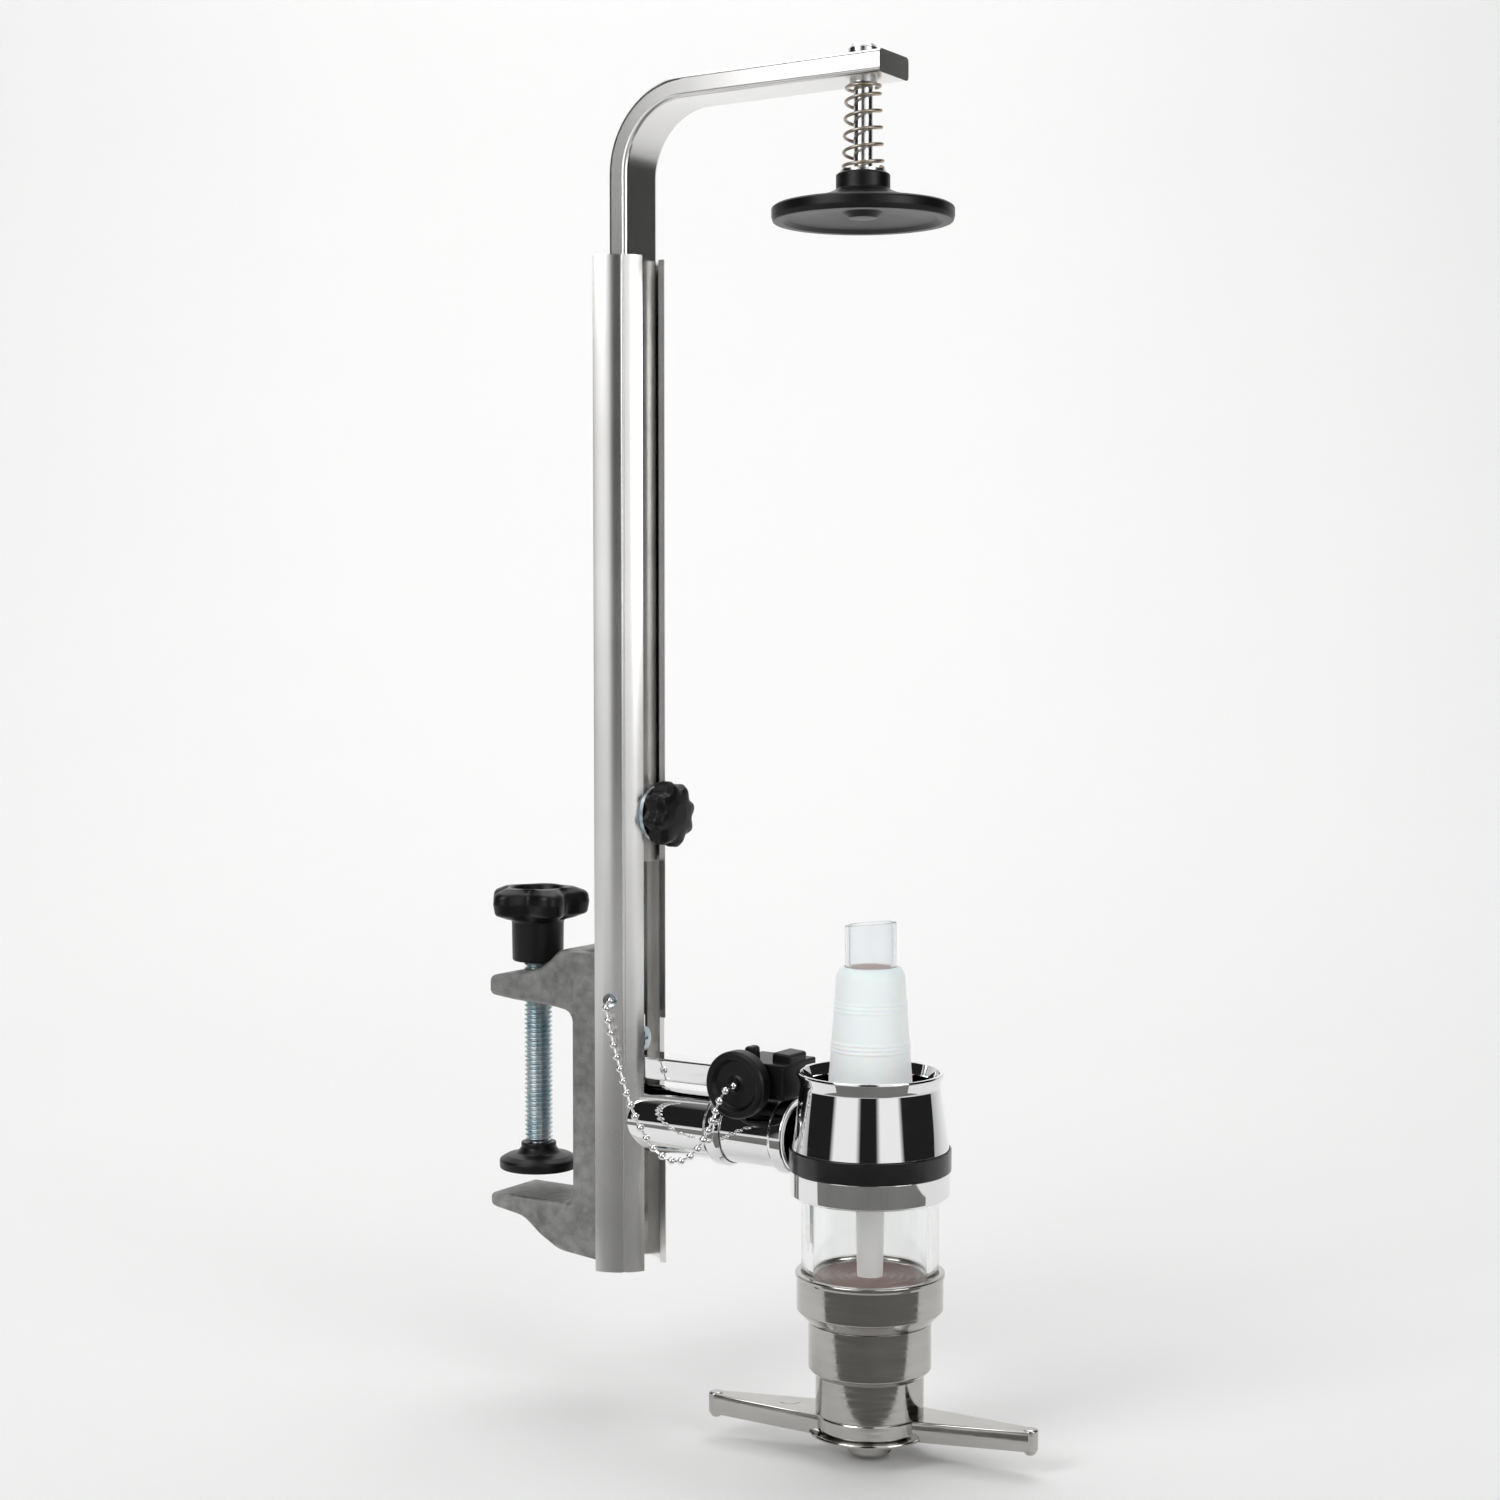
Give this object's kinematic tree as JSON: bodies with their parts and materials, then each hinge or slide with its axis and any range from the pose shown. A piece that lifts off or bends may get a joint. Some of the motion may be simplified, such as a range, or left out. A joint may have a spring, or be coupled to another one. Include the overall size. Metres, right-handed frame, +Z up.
{
  "type": "bar bottle stand with spirit measure",
  "caption": "Table-clamp bottle stand: half-round rail, sliding sprung press arm, and a push-up glass spirit measure on a chromed holder with a tethered latch plug.",
  "frame": {"origin": "on the lower clamp jaw's top face, on the axis of the clamp spindle", "axes": "+Z up along the rail and the measure, +X from the clamp to the measure"},
  "size_m": [0.2029, 0.057, 0.4414],
  "materials": {
    "rail_aluminium": "satin anodised",
    "clamp_casting": "raw casting",
    "chrome": "polished",
    "zinc_steel": "zinc plated",
    "spring_bronze": "drawn wire",
    "spring_steel": "drawn wire",
    "black_plastic": "moulded",
    "band_black": "gloss",
    "cone_silicone": "translucent",
    "seal_rubber": "soft",
    "clear_glass": "clear",
    "clear_plastic": "clear moulded",
    "white_plastic": "translucent"
  },
  "bodies": {
    "stand": {"rail": "rail_aluminium", "clamp_frame": "clamp_casting", "rail_screws": "zinc_steel", "holder_screw": "zinc_steel", "holder_bar": "chrome", "holder_tube": "chrome", "tube_collar": "chrome", "tube_clip": "chrome", "latch_block": "black_plastic", "chain_ferrule": "zinc_steel", "ball_chain": "chrome", "ring_cup": "chrome", "trim_band": "band_black", "upper_collar": "chrome", "glass_cylinder": "clear_glass", "top_seal": "seal_rubber", "bottom_seal": "seal_rubber", "chamber_lid": "chrome", "stem_tube": "white_plastic", "stopper_cone": "cone_silicone", "neck_tube": "clear_plastic", "base_cup": "chrome", "floor_membrane": "seal_rubber", "lower_housing": "chrome", "return_spring": "spring_steel"},
    "foot": {"clamp_foot": "black_plastic"},
    "spindle": {"clamp_spindle": "zinc_steel", "handwheel": "black_plastic"},
    "arm": {"arm_bar": "rail_aluminium", "press_bush": "zinc_steel", "knob_washer": "zinc_steel", "press_spring": "spring_bronze"},
    "knob": {"rail_knob": "black_plastic", "knob_stud": "zinc_steel"},
    "press": {"press_rod": "zinc_steel", "rod_clip": "zinc_steel", "spring_washer": "zinc_steel"},
    "plate": {"press_plate": "black_plastic"},
    "lever": {"lift_sleeve": "chrome", "valve_stem": "zinc_steel", "stem_seal": "seal_rubber", "push_lever": "chrome", "dish_washer": "chrome", "outlet_nut": "chrome"},
    "plug": {"latch_plug": "black_plastic"}
  },
  "joints": [
    {"name": "foot_slide", "type": "slide", "parent": "stand", "child": "foot", "axis": [0, 0, 1], "range_m": [0, 0.0476]},
    {"name": "spindle_turn", "type": "hinge", "parent": "foot", "child": "spindle", "pos_m": [0, 0, 0.05], "axis": [0, 0, 1], "range_deg": [0, 10800]},
    {"name": "arm_slide", "type": "slide", "parent": "stand", "child": "arm", "axis": [0, 0, 1], "range_m": [-0.026, 0.165]},
    {"name": "knob_turn", "type": "hinge", "parent": "arm", "child": "knob", "pos_m": [0.05, 0, 0.1314], "axis": [1, 0, 0], "range_deg": [0, 720]},
    {"name": "press_slide", "type": "slide", "parent": "arm", "child": "press", "axis": [0, 0, 1], "range_m": [0, 0.018], "stiffness_N_per_m": 400, "springref_m": -0.006, "deforming": ["press_spring"]},
    {"name": "plate_spin", "type": "hinge", "parent": "press", "child": "plate", "pos_m": [0.1276, 0, 0.325], "axis": [0, 0, 1], "continuous": true},
    {"name": "lever_lift", "type": "slide", "parent": "stand", "child": "lever", "axis": [0, 0, 1], "range_m": [0, 0.006], "stiffness_N_per_m": 800, "springref_m": -0.006, "deforming": ["return_spring"]},
    {"name": "plug_turn", "type": "hinge", "parent": "stand", "child": "plug", "pos_m": [0.0912, -0.012, 0.0476], "axis": [0, -1, 0], "range_deg": [0, 90]}
  ],
  "couplings": [
    {"joint": "spindle_turn", "follows": "foot_slide", "rad_per_m": 3957.9}
  ]
}
